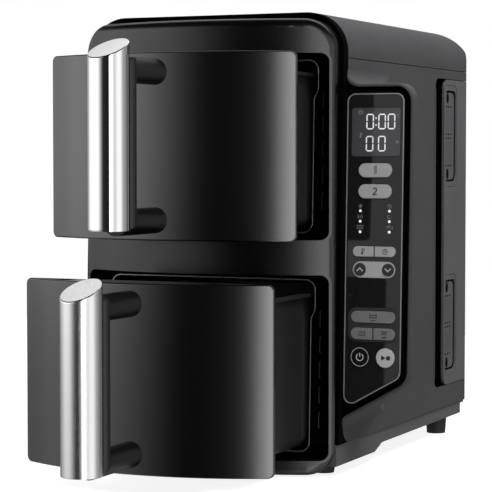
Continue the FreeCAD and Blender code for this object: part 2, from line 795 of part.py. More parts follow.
def board_corners():
    left = PANEL_LEFT + PANEL_LEDGE
    right = PANEL_RIGHT - PANEL_LEDGE
    low = panel_low(right, 0) + PANEL_LOW_CORNER + PANEL_LEDGE
    high = PANEL_TOP - PANEL_CORNER - PANEL_LEDGE
    return [(x, z) for x in (left, right) for z in (low, high)]


def make_control_board():
    """Circuit board behind the panel, with the display and a switch for every key."""
    corners = board_corners()
    xs = [corner[0] for corner in corners]
    zs = [corner[1] for corner in corners]
    low = panel_low(max(xs), 0)
    right = max(xs) + BOARD_STANDOFF_R / 2
    outline = rect(min(xs) - BOARD_STANDOFF_R, right, low, max(zs) + BOARD_STANDOFF_R)
    pieces = [panel_layer(outline, BOARD_OFFSET, BOARD_OFFSET + BOARD_THICK)]
    switch_front = KEY_BACK + STEM_LENGTH + KEY_TRAVEL + SWITCH_SPARE
    for place in key_places().values():
        x, z = key_centre(place(0))
        pad = centred(x, z, (SWITCH_SIZE, SWITCH_SIZE, 0.0))
        pieces.append(panel_layer(pad, switch_front, BOARD_OFFSET))
    pieces.append(panel_layer(display_outline(-DISPLAY[2]), -PANEL_SEAT, BOARD_OFFSET))
    return join(pieces)


# Base


def base_block(inset, open_top):
    half = BODY_HALF - BASE_INSET - inset
    low = BASE_LOW + inset
    rear_low = BASE_REAR_LOW + inset
    back = BASE_BACK - inset
    side_view = [
        (-FAR / 10, low, 0),
        (BASE_STEP_Y[0] + inset / 2, low, BASE_ROUND),
        (BASE_STEP_Y[1] + inset / 2, rear_low, BASE_ROUND),
        (back, rear_low, BASE_REAR_ROUND - inset),
        (back, BODY_BOTTOM + open_top, 0),
        (-FAR / 10, BODY_BOTTOM + open_top, 0)]
    plan = rect(-half, half, -FAR / 10, back, 0, REAR_CORNER - inset)
    block = prism_x(side_view, -half, half).common(prism_z(plan, -FAR, FAR))
    return block.common(slab(-COLLAR_DEPTH + inset, FAR))


def make_base_tray():
    tray = base_block(0, 0).cut(base_block(WALL, WALL))
    half = BODY_HALF - BASE_INSET
    ledge = rect(-half, half, BASE_BACK - BASE_LEDGE_LAP, BODY_D - BASE_INSET, 0, REAR_CORNER - BASE_INSET)
    tray = join([tray, prism_z(ledge, BODY_BOTTOM - WALL, BODY_BOTTOM)])
    return tray.cut(sleeve_blocks(SLEEVE_WALL + SLEEVE_FIT) + liner_blocks(LINER_SHEET + LINER_FIT))


def make_feet():
    feet = []
    for side in (-1, 1):
        for (x, y), top in ((FRONT_FOOT, BASE_LOW), (REAR_FOOT, BASE_REAR_LOW)):
            feet.append(Part.makeCone(FOOT_R - FOOT_FLARE, FOOT_R, top, V(side * x, y, 0)))
    return Part.makeCompound(feet)


# Cavities with their heaters, fans and motors


def liner_outline(base, grow):
    """Section of a cavity, a little wider above its step."""
    low = base + LINER_FLOOR - grow
    high = base + LINER_CEILING + grow
    near = LINER_HALF + grow
    wide = LINER_HALF + LINER_STEP_OUT + grow
    step_low = base + LINER_STEP_LOW
    step_high = base + LINER_STEP_HIGH
    r = LINER_CORNER + grow
    return [
        (-near, low, r), (near, low, r), (near, step_low, 0), (wide, step_high, 0),
        (wide, high, r), (-wide, high, r), (-wide, step_high, 0), (-near, step_low, 0)]


def level_middle(base):
    return base + (LINER_FLOOR + LINER_CEILING) / 2


def make_liner(base):
    """Sheet cavity with two rails on its floor and holes for the shaft and the heater leads."""
    front = slab(-BULKHEAD - LINER_PROUD, FAR)
    outer = prism_y(liner_outline(base, LINER_SHEET), -FAR / 10, LINER_BACK + LINER_SHEET)
    inner = prism_y(liner_outline(base, 0), -FAR / 10, LINER_BACK)
    sheet = outer.cut(inner).common(front)
    rails = []
    for x in (-RAIL_X, RAIL_X):
        rail_top = base + BASKET_LOW - RUNNER_GAP
        rails.append(box(x - RAIL_W / 2, x + RAIL_W / 2, RAIL_START, RAIL_START + RAIL_LENGTH,
                         base + LINER_FLOOR, rail_top))
    liner = join([sheet] + rails)
    middle = level_middle(base)
    holes = [rod_y(0, middle, SHAFT_R + SHAFT_PASS, LINER_BACK, LINER_BACK + LINER_SHEET)]
    for x, z in heater_leads(base):
        holes.append(rod_y(x, z, HEATER_TUBE + HEATER_FIT, LINER_BACK, LINER_BACK + LINER_SHEET))
    return liner.cut(holes)


def make_fan_guard(base):
    """Plate in front of the fan, with slots around its centre."""
    plate = prism_y(liner_outline(base, -GUARD_FIT), GUARD_Y, GUARD_Y + GUARD_SHEET)
    middle = level_middle(base)
    inner, outer, width = GUARD_SLOT
    slots = []
    for i in range(GUARD_SLOTS):
        slot = box(inner, outer, GUARD_Y - 1, GUARD_Y + GUARD_SHEET + 1, -width / 2, width / 2)
        slot.rotate(V(0, 0, 0), V(0, 1, 0), 360.0 * i / GUARD_SLOTS)
        slot.translate(V(0, 0, middle))
        slots.append(slot)
    return plate.cut(slots)


def heater_leads(base):
    return [(side * HEATER_LEAD_DX, level_middle(base) + HEATER_R) for side in (-1, 1)]


def make_heater(base):
    """Tubular heating ring around the fan, with a terminal block and two leads to the back."""
    middle = level_middle(base)
    width, depth, height = HEATER_BLOCK
    circle = Part.makeCircle(HEATER_TUBE, V(0, HEATER_Y, middle - HEATER_R), V(1, 0, 0))
    section = Part.Face(Part.Wire(circle))
    ring = section.revolve(V(0, HEATER_Y, middle), V(0, 1, 0), 360)
    block = box(-width / 2, width / 2, HEATER_Y - depth / 2, HEATER_Y + depth / 2,
                middle + HEATER_R - height / 2, middle + HEATER_R + height / 2)
    leads = [rod_y(x, z, HEATER_TUBE, HEATER_Y, HEATER_LEAD_END) for x, z in heater_leads(base)]
    return join([ring, block] + leads)


def make_fan(base):
    """Impeller with straight blades on a disc."""
    middle = level_middle(base)
    hub = rod_y(0, middle, FAN_HUB_R, FAN_FRONT, FAN_BACK)
    disc = rod_y(0, middle, FAN_R, FAN_BACK - FAN_DISC, FAN_BACK)
    blades = []
    for i in range(FAN_BLADES):
        blade = box(FAN_HUB_R - 1, FAN_R, FAN_FRONT, FAN_BACK, -FAN_BLADE / 2, FAN_BLADE / 2)
        blade.rotate(V(0, 0, 0), V(0, 1, 0), 360.0 * i / FAN_BLADES)
        blade.translate(V(0, 0, middle))
        blades.append(blade)
    return join([hub, disc] + blades).cut(rod_y(0, middle, SHAFT_R, FAN_FRONT, FAN_BACK))


def make_fan_shaft(base):
    return rod_y(0, level_middle(base), SHAFT_R, FAN_FRONT, MOTOR_END + MOTOR_CAP / 2)


def make_fan_motor(base):
    """Motor on the back of the cavity."""
    middle = level_middle(base)
    can = rod_y(0, middle, MOTOR_R, LINER_BACK + LINER_SHEET, MOTOR_END)
    cap = rod_y(0, middle, MOTOR_CAP_R, MOTOR_END, MOTOR_END + MOTOR_CAP)
    bore = rod_y(0, middle, SHAFT_R + SHAFT_FIT, LINER_BACK, MOTOR_END + MOTOR_CAP)
    return join([can, cap]).cut(bore)


def power_board_posts():
    y0 = POWER_BOARD_Y + 2 * POWER_POST_R
    y1 = POWER_BOARD_Y + POWER_BOARD[1] - 2 * POWER_POST_R
    z0 = POWER_BOARD_Z + 2 * POWER_POST_R
    z1 = POWER_BOARD_Z + POWER_BOARD[2] - 2 * POWER_POST_R
    return [(y, z) for y in (y0, y1) for z in (z0, z1)]


def make_power_board():
    """Mains board on posts inside the left side shell."""
    thick, length, height = POWER_BOARD
    pieces = [box(POWER_BOARD_X, POWER_BOARD_X + thick, POWER_BOARD_Y, POWER_BOARD_Y + length,
                  POWER_BOARD_Z, POWER_BOARD_Z + height)]
    for y, z, tall in POWER_PARTS:
        width, high = POWER_PART_SIZE
        pieces.append(box(POWER_BOARD_X + thick, POWER_BOARD_X + thick + tall, POWER_BOARD_Y + y,
                          POWER_BOARD_Y + y + width, POWER_BOARD_Z + z, POWER_BOARD_Z + z + high))
    return join(pieces)


# Drawers, drawn closed and pulled out afterwards


def make_basket(base):
    """Open pan with rounded lower edges and a flat rim."""
    def pan(inset, top):
        plan = rect(-BASKET_HALF + inset, BASKET_HALF - inset, BASKET_FRONT + inset, BASKET_BACK - inset,
                    BASKET_CORNER - inset)
        low = base + BASKET_LOW + inset
        solid = prism_z(plan, low, top)
        edges = [edge for edge in solid.Edges if abs(edge.BoundBox.ZMax - low) < 1e-6]
        return solid.makeFillet(BASKET_FLOOR_ROUND - inset, edges)

    top = base + BASKET_TOP
    rim_plan = rect(-BASKET_HALF - RIM_OUT, BASKET_HALF + RIM_OUT, BASKET_FRONT - RIM_OUT,
                    BASKET_BACK + RIM_OUT, BASKET_CORNER + RIM_OUT)
    rim = prism_z(rim_plan, top - RIM_THICK, top)
    return join([pan(0, top), rim]).cut(pan(BASKET_SHEET, top + RIM_THICK))


def make_drawer_front(base):
    """Curved front plate with a flat back plate, a closed box in its middle and a neck to the basket."""
    half = FRONT_W / 2
    high = base + FRONT_H
    block = prism_y(rect(-half, half, base, high, FRONT_CORNER), -FAR / 4, FRONT_BACK)
    block = block.common(front_cylinder(FRONT_RADIUS, FASCIA_APEX))
    front_face = min(block.Faces, key=lambda face: face.CenterOfMass.y)
    block = block.makeFillet(FRONT_EDGE_ROUND, front_face.Edges)
    behind_plate = front_cylinder(FRONT_RADIUS - FRONT_THICK, FASCIA_APEX)
    wall = MOUNT_BOX_WALL
    low = base + wall
    middle = MOUNT_BOX_W / 2
    inner_back = FRONT_BACK - FRONT_BACK_THICK
    hollows = [box(-middle + wall, middle - wall, -FAR, inner_back, low, high - wall),
               box(-half, -middle, -FAR, inner_back, low, high),
               box(middle, half, -FAR, inner_back, low, high)]
    front = block.cut([hollow.common(behind_plate) for hollow in hollows])
    neck = NECK_W / 2
    neck_low = base + NECK_LOW
    neck_high = base + NECK_HIGH
    tube = box(-neck, neck, inner_back, BASKET_FRONT, neck_low, neck_high)
    space = box(-neck + wall, neck - wall, inner_back, BASKET_FRONT, neck_low + wall, neck_high - wall)
    return join([front, tube]).cut(space)


def handle_axis():
    return FASCIA_APEX - HANDLE_REACH


def oval_prism(half_w, half_d, y, z0, z1):
    oval = Part.Ellipse(V(0, y, z0), half_w, half_d)
    return Part.Face(Part.Wire(oval.toShape())).extrude(V(0, 0, z1 - z0))


def handle_cut(base):
    """Space above the slanted top of a handle, lowest at its front left."""
    cut = box(-FAR, FAR, -FAR, FAR, 0, FAR)
    cut.rotate(V(0, 0, 0), V(1, 0, 0), HANDLE_SLANT_DEG)
    cut.rotate(V(0, 0, 0), V(0, 1, 0), -HANDLE_SIDE_SLANT_DEG)
    cut.translate(V(0, handle_axis(), base + HANDLE_HIGH))
    return cut


def make_handle_shell(base):
    """Bright oval grip with a slanted top."""
    top = base + FRONT_H + HANDLE_HALF_D
    grip = oval_prism(HANDLE_HALF_W, HANDLE_HALF_D, handle_axis(), base + HANDLE_LOW, top)
    return grip.cut(handle_cut(base))


def make_handle_core(base):
    """Dark spine behind the grip with two round posts to the drawer front."""
    axis = handle_axis()
    low = base + HANDLE_LOW
    high = base + HANDLE_HIGH - SPINE_DROP
    back = axis + SPINE_BACK
    spine = prism_z(rect(-SPINE_HALF_W, SPINE_HALF_W, axis + SPINE_FRONT, back, 0, SPINE_CORNER), low, high)
    posts = [rod_y(0, base + z, POST_R, back - SPINE_CORNER, 0) for z in POST_HEIGHTS]
    posts = [post.cut(front_cylinder(FRONT_RADIUS + POST_FIT, FASCIA_APEX)) for post in posts]
    core = join([spine] + posts)
    grip = oval_prism(HANDLE_HALF_W + SPINE_FIT, HANDLE_HALF_D + SPINE_FIT, axis, low - 1, high + 1)
    return core.cut(grip)


def make_handle_screws(base):
    """Screws from inside the drawer front into the handle's posts."""
    back = FASCIA_APEX + FRONT_THICK + POST_FIT
    screws = [rod_y(0, base + z, HANDLE_SCREW_R, back, back + HANDLE_SCREW_HEAD) for z in POST_HEIGHTS]
    return Part.makeCompound(screws)


def make_crisper_plate(base):
    """Perforated plate that lifts the food off the basket's floor."""
    gap = BASKET_SHEET + PLATE_GAP
    half = BASKET_HALF - gap
    plan = rect(-half, half, BASKET_FRONT + gap, BASKET_BACK - gap, BASKET_CORNER - gap)
    low = base + BASKET_LOW + BASKET_SHEET + PLATE_LIFT
    plate = prism_z(plan, low, low + PLATE_THICK)
    middle_y = (BASKET_FRONT + BASKET_BACK) / 2
    slots = []
    for i in range(PLATE_COLUMNS):
        for j in range(PLATE_ROWS):
            x = (i - (PLATE_COLUMNS - 1) / 2) * PLATE_PITCH[0]
            y = middle_y + (j - (PLATE_ROWS - 1) / 2) * PLATE_PITCH[1]
            slots.append(prism_z(centred(x, y, (PLATE_SLOT[0], PLATE_SLOT[1], PLATE_SLOT[1] / 2.01)),
                                 low - 1, low + PLATE_THICK + 1))
    return plate.cut(slots)


def make_plate_feet(base):
    low = base + BASKET_LOW + BASKET_SHEET
    feet = []
    for x in (-BASKET_HALF + PLATE_FOOT_INSET, BASKET_HALF - PLATE_FOOT_INSET):
        for y in (BASKET_FRONT + PLATE_FOOT_INSET, BASKET_BACK - PLATE_FOOT_INSET):
            feet.append(Part.makeCylinder(PLATE_FOOT_R, PLATE_LIFT, V(x, y, low)))
    return Part.makeCompound(feet)


# Assembly


def build():
    pieces = {
        "front_fascia": make_front_fascia(),
        "front_frame": make_front_frame(),
        "top_cover": make_top_cover(),
        "right_side_shell": make_right_side_shell(),
        "left_side_shell": make_left_side_shell(),
        "rear_cover": make_rear_cover(),
        "rear_screws": make_rear_screws(),
        "vent_channels": make_vent_channels(),
        "right_vent_grilles": make_vent_grilles(1),
        "left_vent_grilles": make_vent_grilles(-1),
        "cord_inlet": make_cord_inlet(),
        "base_tray": make_base_tray(),
        "feet": make_feet(),
        "control_panel": make_control_panel(),
        "panel_outline": make_panel_outline(),
        "arrow_trim": make_trim(arrow_pill, ARROW_KEYS),
        "mode_trim": make_trim(mode_box, MODE_KEYS),
        "display_window": make_display_window(),
        "mode_lamps": make_mode_lamps(),
        "control_board": make_control_board(),
        "power_board": make_power_board(),
    }
    for name, place in key_places().items():
        pieces[name] = make_key(place(0))
    for level, base in LEVELS.items():
        pieces[level + "_liner"] = make_liner(base)
        pieces[level + "_fan_guard"] = make_fan_guard(base)
        pieces[level + "_heater"] = make_heater(base)
        pieces[level + "_fan"] = make_fan(base)
        pieces[level + "_fan_shaft"] = make_fan_shaft(base)
        pieces[level + "_fan_motor"] = make_fan_motor(base)
        drawer = {
            "basket": make_basket(base),
            "drawer_front": make_drawer_front(base),
            "handle_core": make_handle_core(base),
            "handle_grip": make_handle_shell(base),
            "handle_screws": make_handle_screws(base),
            "crisper_plate": make_crisper_plate(base),
            "plate_feet": make_plate_feet(base),
        }
        for name, shape in drawer.items():
            shape.translate(V(0, -PULLED_OUT[level], 0))
            pieces[level + "_" + name] = shape
    return pieces


def bottom_centre():
    """Bottom centre of the object with its drawers as far out as they stand."""
    left = -BODY_HALF - 2 * RIDGE_R / 3
    front = handle_axis() - HANDLE_HALF_D - max(PULLED_OUT.values())
    back = BODY_D + INLET_PROUD
    return V((left + POD_RIGHT) / 2, (front + back) / 2, 0)


def main():
    shift = bottom_centre() * -1
    for name, shape in build().items():
        shape.translate(shift)
        shape.exportStep("parts/" + name + ".step")
        print(name, len(shape.Solids), round(shape.Volume), shape.isValid())


main()
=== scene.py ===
import json
import math

import bmesh
import bpy
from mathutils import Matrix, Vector


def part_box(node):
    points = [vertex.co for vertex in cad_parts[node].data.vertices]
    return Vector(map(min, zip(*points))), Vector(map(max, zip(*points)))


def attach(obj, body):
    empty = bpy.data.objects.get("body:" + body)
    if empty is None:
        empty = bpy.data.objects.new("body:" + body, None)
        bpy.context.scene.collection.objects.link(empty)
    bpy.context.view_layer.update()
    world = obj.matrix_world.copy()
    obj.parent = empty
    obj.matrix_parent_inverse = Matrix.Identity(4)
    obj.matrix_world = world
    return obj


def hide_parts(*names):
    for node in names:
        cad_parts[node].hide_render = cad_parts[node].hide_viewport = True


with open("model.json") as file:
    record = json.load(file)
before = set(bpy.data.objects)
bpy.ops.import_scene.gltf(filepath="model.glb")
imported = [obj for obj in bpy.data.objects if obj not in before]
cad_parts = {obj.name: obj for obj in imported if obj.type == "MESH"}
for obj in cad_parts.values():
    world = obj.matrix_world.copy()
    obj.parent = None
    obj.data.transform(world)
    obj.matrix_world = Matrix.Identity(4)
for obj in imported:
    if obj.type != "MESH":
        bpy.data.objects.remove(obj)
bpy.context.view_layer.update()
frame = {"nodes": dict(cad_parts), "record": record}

# The frame is in metres, with its origin at the bottom centre of the whole object.
# Sizes of marks, vents and rib edges are in millimetres, and all others in metres.
MM = 0.001

# Camera that took the photograph

CAMERA_AT = (0.6863, -1.5514, 0.2683)
CAMERA_AZIMUTH_DEG = 24.48
CAMERA_PITCH_DEG = 2.70
CAMERA_FOCAL_PX = 1947.7
CAMERA_CLIP = (0.05, 50.0)
IMAGE_PX = 492.0
SENSOR_MM = 36.0


def add_camera():
    data = bpy.data.cameras.new("camera")
    data.sensor_fit = "HORIZONTAL"
    data.sensor_width = SENSOR_MM
    data.lens = CAMERA_FOCAL_PX * SENSOR_MM / IMAGE_PX
    data.clip_start = CAMERA_CLIP[0]
    data.clip_end = CAMERA_CLIP[1]
    camera = bpy.data.objects.new("camera", data)
    camera.location = CAMERA_AT
    upright = math.radians(90.0 - CAMERA_PITCH_DEG)
    camera.rotation_euler = (upright, 0.0, math.radians(CAMERA_AZIMUTH_DEG))
    bpy.context.scene.collection.objects.link(camera)
    bpy.context.scene.camera = camera


# Shader nodes


def feed(tree, node, inputs):
    """Fill inputs of a node: a socket is linked, and anything else is set as a constant."""
    for key, value in inputs.items():
        if isinstance(value, bpy.types.NodeSocket):
            tree.links.new(value, node.inputs[key])
        else:
            node.inputs[key].default_value = value


def add_node(tree, kind, inputs=None, **settings):
    node = tree.nodes.new(kind)
    for key, value in settings.items():
        setattr(node, key, value)
    feed(tree, node, inputs or {})
    return node


def compute(tree, operation, first, second):
    """One step of arithmetic on two values."""
    return add_node(tree, "ShaderNodeMath", {0: first, 1: second}, operation=operation).outputs["Value"]


def mix(tree, factor, first, second):
    """The first value where the factor is 0, the second where it is 1."""
    return add_node(tree, "ShaderNodeMix", {"Factor": factor, "A": first, "B": second}).outputs["Result"]


def spread(tree, value, span, target=(0.0, 1.0), kind="LINEAR"):
    """A value within one span, spread over another."""
    inputs = {"Value": value, "From Min": span[0], "From Max": span[1],
              "To Min": target[0], "To Max": target[1]}
    return add_node(tree, "ShaderNodeMapRange", inputs, interpolation_type=kind).outputs["Result"]


def noise(tree, scale, detail, stretch=(1.0, 1.0, 1.0)):
    """Grey noise that is fixed to the object."""
    place = add_node(tree, "ShaderNodeTexCoord").outputs["Object"]
    mapped = add_node(tree, "ShaderNodeMapping", {"Vector": place, "Scale": stretch}).outputs["Vector"]
    inputs = {"Vector": mapped, "Scale": scale, "Detail": detail}
    return add_node(tree, "ShaderNodeTexNoise", inputs).outputs["Fac"]


# Materials

NOISE_SPAN = (0.3, 0.7)
SLOW_SCALE = 14.0
SLOW_DETAIL = 3.0
FINE_DETAIL = 4.0
BUMP_DEPTH = 0.00006
BEVEL_SAMPLES = 4


def new_material(name):
    material = bpy.data.materials.new(name)
    material.use_nodes = True
    tree = material.node_tree
    return material, tree, tree.nodes["Principled BSDF"]


def shade(colour, factor=1.0):
    return tuple(channel * factor for channel in colour) + (1.0,)


def finish(name, colour, rough, grain=1400.0, bump=0.1, vary=0.08, rough_vary=0.06, metallic=0.0,
           specular=0.5, ior=1.5, edge=0.0006, stretch=(1.0, 1.0, 1.0), glow=0.0):
    """Surface with a fine grain, a slow change of colour and softened edges."""
    material, tree, shader = new_material(name)
    ramp = add_node(tree, "ShaderNodeValToRGB", {"Fac": noise(tree, SLOW_SCALE, SLOW_DETAIL)})
    for stop, place, factor in zip(ramp.color_ramp.elements, NOISE_SPAN, (1.0 - vary, 1.0 + vary)):
        stop.position = place
        stop.color = shade(colour, factor)
    fine = noise(tree, grain, FINE_DETAIL, stretch)
    relief = add_node(tree, "ShaderNodeBump", {"Strength": bump, "Distance": BUMP_DEPTH, "Height": fine})
    if edge:
        soft = add_node(tree, "ShaderNodeBevel", {"Radius": edge}, samples=BEVEL_SAMPLES)
        feed(tree, relief, {"Normal": soft.outputs["Normal"]})
    feed(tree, shader, {
        "Base Color": ramp.outputs["Color"],
        "Roughness": spread(tree, fine, NOISE_SPAN, (rough - rough_vary, rough + rough_vary)),
        "Metallic": metallic,
        "Specular IOR Level": specular,
        "IOR": ior,
        "Normal": relief.outputs["Normal"],
    })
    if glow:
        feed(tree, shader, {"Emission Color": shade(colour), "Emission Strength": glow})
    return material


# Finishes of the record's slots first, then those of single nodes and of the scene's own pieces
FINISHES = {
    "fascia_plastic": dict(colour=(0.0018, 0.0018, 0.002), rough=0.2, grain=2600.0, bump=0.02,
                           rough_vary=0.03, specular=1.0, ior=1.6),
    "frame_plastic": dict(colour=(0.0012, 0.0012, 0.0013), rough=0.8, specular=0.03),
    "shell_plastic": dict(colour=(0.055, 0.055, 0.058), rough=0.55, grain=1800.0, bump=0.15, specular=0.3),
    "trim_plastic": dict(colour=(0.1, 0.1, 0.104), rough=0.55, grain=1800.0, bump=0.15, specular=0.3),
    "panel_gloss": dict(colour=(0.018, 0.018, 0.0185), rough=0.05, bump=0.005, rough_vary=0.01,
                        specular=0.65),
    "chrome": dict(colour=(0.92, 0.92, 0.93), rough=0.06, bump=0.0005, metallic=1.0, rough_vary=0.02,
                   vary=0.01, edge=0.0),
    "key_grey": dict(colour=(0.63, 0.63, 0.645), rough=0.35, specular=0.3),
    "key_dark": dict(colour=(0.055, 0.055, 0.058), rough=0.35, specular=0.3),
    "display_glass": dict(colour=(0.1, 0.098, 0.112), rough=0.06, bump=0.005, rough_vary=0.01),
    "lamp_clear": dict(colour=(0.9, 0.9, 0.9), rough=0.3, vary=0.02, glow=0.6),
    "liner_steel": dict(colour=(0.32, 0.32, 0.33), rough=0.32, metallic=1.0, stretch=(1.0, 1.0, 0.05)),
    "basket_coating": dict(colour=(0.02, 0.02, 0.021), rough=0.36, grain=2200.0, bump=0.2),
    "silicone": dict(colour=(0.02, 0.02, 0.02), rough=0.6),
    "steel": dict(colour=(0.55, 0.55, 0.56), rough=0.3, metallic=1.0),
    "heater_steel": dict(colour=(0.2, 0.19, 0.18), rough=0.45, metallic=1.0),
    "fan_metal": dict(colour=(0.6, 0.6, 0.6), rough=0.35, metallic=1.0),
    "board": dict(colour=(0.02, 0.09, 0.03), rough=0.5),
    "rubber": dict(colour=(0.012, 0.012, 0.012), rough=0.7),
    "fascia_satin": dict(colour=(0.0018, 0.0018, 0.002), rough=0.26, grain=2600.0, bump=0.02,
                         rough_vary=0.03, specular=0.5, ior=1.6),
    "core_satin": dict(colour=(0.006, 0.006, 0.0065), rough=0.36, grain=2600.0, bump=0.03, specular=0.6),
    "chrome_satin": dict(colour=(0.9, 0.9, 0.91), rough=0.26, grain=900.0, bump=0.002, metallic=1.0,
                         rough_vary=0.03, vary=0.02, edge=0.0, stretch=(1.0, 1.0, 0.01)),
    "outline_satin": dict(colour=(0.5, 0.5, 0.51), rough=0.38, metallic=0.35, bump=0.01, edge=0.0),
    "key_pale": dict(colour=(0.72, 0.72, 0.735), rough=0.35, specular=0.3),
    "key_dim": dict(colour=(0.27, 0.27, 0.28), rough=0.35, specular=0.3),
    "key_black": dict(colour=(0.012, 0.012, 0.0125), rough=0.2, specular=0.4),
    "mark_lit": dict(colour=(0.9, 0.9, 0.92), rough=0.4, vary=0.02, glow=0.5),
    "mark_white": dict(colour=(0.85, 0.85, 0.87), rough=0.4, vary=0.03),
    "mark_soft": dict(colour=(0.42, 0.42, 0.43), rough=0.4, vary=0.03),
    # Dark print on the keys; also painted shade lines in the slots of the vents
    "print_and_slot_shade": dict(colour=(0.03, 0.03, 0.032), rough=0.4, vary=0.05),
    # Painted highlight on the front edges of the ribs beside the cavities
    "painted_rib_highlight": dict(colour=(0.08, 0.08, 0.082), rough=0.5, specular=0.3),
    # Painted shade in the gaps and holes of the vents
    "painted_hole_shade": dict(colour=(0.002, 0.002, 0.002), rough=0.8, specular=0.05),
}
MATERIALS = {name: finish(name, **values) for name, values in FINISHES.items()}

# Nodes with a finish of their own within their slot
OWN_FINISH = {
    "front_fascia": "fascia_satin",
    "upper_handle_core": "core_satin",
    "lower_handle_core": "core_satin",
    "panel_outline": "outline_satin",
    "start_key": "key_pale",
    "power_key": "key_black",
    "stack_key": "key_dim",
    "finish_together_key": "key_dim",
    "same_settings_key": "key_dim",
}


def dress_nodes():
    """Give every node of the frame its own finish, or else that of its slot."""
    for entry in frame["record"]["subparts"]:
        name = entry["node"]
        materials = frame["nodes"][name].data.materials
        materials.clear()
        materials.append(MATERIALS[OWN_FINISH.get(name, entry["material_slot"])])


# Meshes

SHARP_DEG = 40.0
MARK_SINK = 0.05
MARK_PROUD = 0.08


def corners(node):
    """Lowest and highest corner of a node."""
    return [Vector(corner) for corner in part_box(node)]


def mesh_object(name, build, look):
    """Object from a finished mesh, shaded smooth up to a sharp angle."""
    mesh = bpy.data.meshes.new(name)
    bmesh.ops.recalc_face_normals(build, faces=build.faces)
    build.to_mesh(mesh)
    build.free()
    mesh.shade_smooth()
    mesh.set_sharp_from_angle(angle=math.radians(SHARP_DEG))
    mesh.materials.append(MATERIALS[look])
    piece = bpy.data.objects.new(name, mesh)
    bpy.context.scene.collection.objects.link(piece)
    return piece


def add_prisms(build, outlines, place, front=MARK_PROUD, back=-MARK_SINK):
    """Thin closed prisms over flat outlines; a pair of outlines is a ring."""

    def vertices(edge, proud):
        return [build.verts.new(place(point, proud)) for point in edge]

    def walls(fronts, backs):
        for i in range(len(fronts)):
            j = (i + 1) % len(fronts)
            build.faces.new((fronts[i], fronts[j], backs[j], backs[i]))

    for outline in outlines:
        ring = isinstance(outline, tuple)
        edges = outline if ring else (outline,)
        sides = []
        for edge in edges:
            fronts = vertices(edge, front)
            backs = vertices(edge, back)
            walls(fronts, backs)
            sides.append((fronts, backs))
        if ring:
            for layer in (0, 1):
                walls(sides[0][layer], sides[1][layer])
        else:
            build.faces.new(fronts)
            build.faces.new(backs[::-1])


# Bright oval grips of the handles, and the dark spines behind them

OVAL_STEPS = 120
RIM_SOFTNESS = 0.3
GRIP_EDGE = 0.0007
# Rise of the grip's top, across and towards the back
GRIP_SLOPE = (0.114, 0.5128)
GRIP_HALF_DEPTH = 0.0155
GRIP_WIDER = 0.0016
SPINE_HALF = (0.0150, 0.0100)
SPINE_SLOPE = (0.0, 0.0)
SPINE_BEHIND = 0.0160
SPINE_DROP = 0.006
SPINE_EDGE = 0.003


def oval_bar(x, y, half, low, top, slope, edge):
    """Upright oval bar with soft rims; the slope slants its top."""
    build = bmesh.new()

    def ring(inset, height, slope_x, slope_y):
        verts = []
        for step in range(OVAL_STEPS):
            turn = 2 * math.pi * step / OVAL_STEPS
            dx = (half[0] - inset) * math.cos(turn)
            dy = (half[1] - inset) * math.sin(turn)
            verts.append(build.verts.new((x + dx, y + dy, height + slope_x * dx + slope_y * dy)))
        return verts

    soft = edge * RIM_SOFTNESS
    rim = [(edge, 0.0), (soft, soft), (0.0, edge), (0.0, 2 * edge)]
    rings = [ring(inset, low + rise, 0.0, 0.0) for inset, rise in rim]
    rings += [ring(inset, top - drop, *slope) for inset, drop in reversed(rim)]
    for lower, upper in zip(rings, rings[1:]):
        for step in range(OVAL_STEPS):
            after = (step + 1) % OVAL_STEPS
            build.faces.new((lower[step], lower[after], upper[after], upper[step]))
    build.faces.new(rings[0][::-1])
    build.faces.new(rings[-1])
    return build


def add_handle(level, look):
    """Grip with a slanted top, in place of the plain grip of a drawer, and the spine behind it."""
    node = level + "_handle_grip"
    low, high = corners(node)
    half_x = (high.x - low.x) / 2
    half_y = (high.y - low.y) / 2
    top = high.z - math.hypot(GRIP_SLOPE[0] * half_x, GRIP_SLOPE[1] * half_y)
    top += GRIP_SLOPE[1] * (GRIP_HALF_DEPTH - half_y)
    x = (low.x + high.x - GRIP_WIDER) / 2
    y = low.y + GRIP_HALF_DEPTH
    grip_half = (half_x + GRIP_WIDER / 2, GRIP_HALF_DEPTH)
    build = oval_bar(x, y, grip_half, low.z, top, GRIP_SLOPE, GRIP_EDGE)
    grip = mesh_object(level + "_grip", build, look)
    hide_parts(node)
    build = oval_bar(x, y + SPINE_BEHIND, SPINE_HALF, low.z + GRIP_EDGE, top - SPINE_DROP,
                     SPINE_SLOPE, SPINE_EDGE)
    spine = mesh_object(level + "_spine", build, "core_satin")
    for piece in (grip, spine):
        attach(piece, level + "_drawer_body")
        piece.visible_glossy = False
        for cap in piece.data.polygons[-2:]:
            cap.use_smooth = False
    frame["nodes"][level + "_handle_core"].visible_glossy = False


# Flat outlines, as points across and up

MITRE_LIMIT = 0.4
ROUND_STEPS = 24
LOOP_STEPS = 36
CORNER_STEPS = 8


def stroke(points, width, closed=False):
    """Outline of a line of even width through some points; a closed line gives its two edges."""
    points = [Vector(point) for point in points]
    left = []
    right = []
    count = len(points)
    for i, point in enumerate(points):
        arms = []
        if i or closed:
            arms.append((point - points[i - 1]).normalized())
        if i < count - 1 or closed:
            arms.append((points[(i + 1) % count] - point).normalized())
        along = sum(arms, Vector((0.0, 0.0))).normalized()
        across = Vector((-along.y, along.x))
        reach = width / 2 / max(MITRE_LIMIT, across.dot(Vector((-arms[0].y, arms[0].x))))
        left.append(point + across * reach)
        right.append(point - across * reach)
    if closed:
        return left, right
    return left + right[::-1]


def arc(x, z, radius, start_deg, end_deg, steps=ROUND_STEPS):
    points = []
    for step in range(steps + 1):
        turn = math.radians(start_deg + (end_deg - start_deg) * step / steps)
        points.append((x + radius * math.cos(turn), z + radius * math.sin(turn)))
    return points


def disc(x, z, radius, steps=ROUND_STEPS):
    return arc(x, z, radius, 0, 360 - 360 / steps, steps - 1)


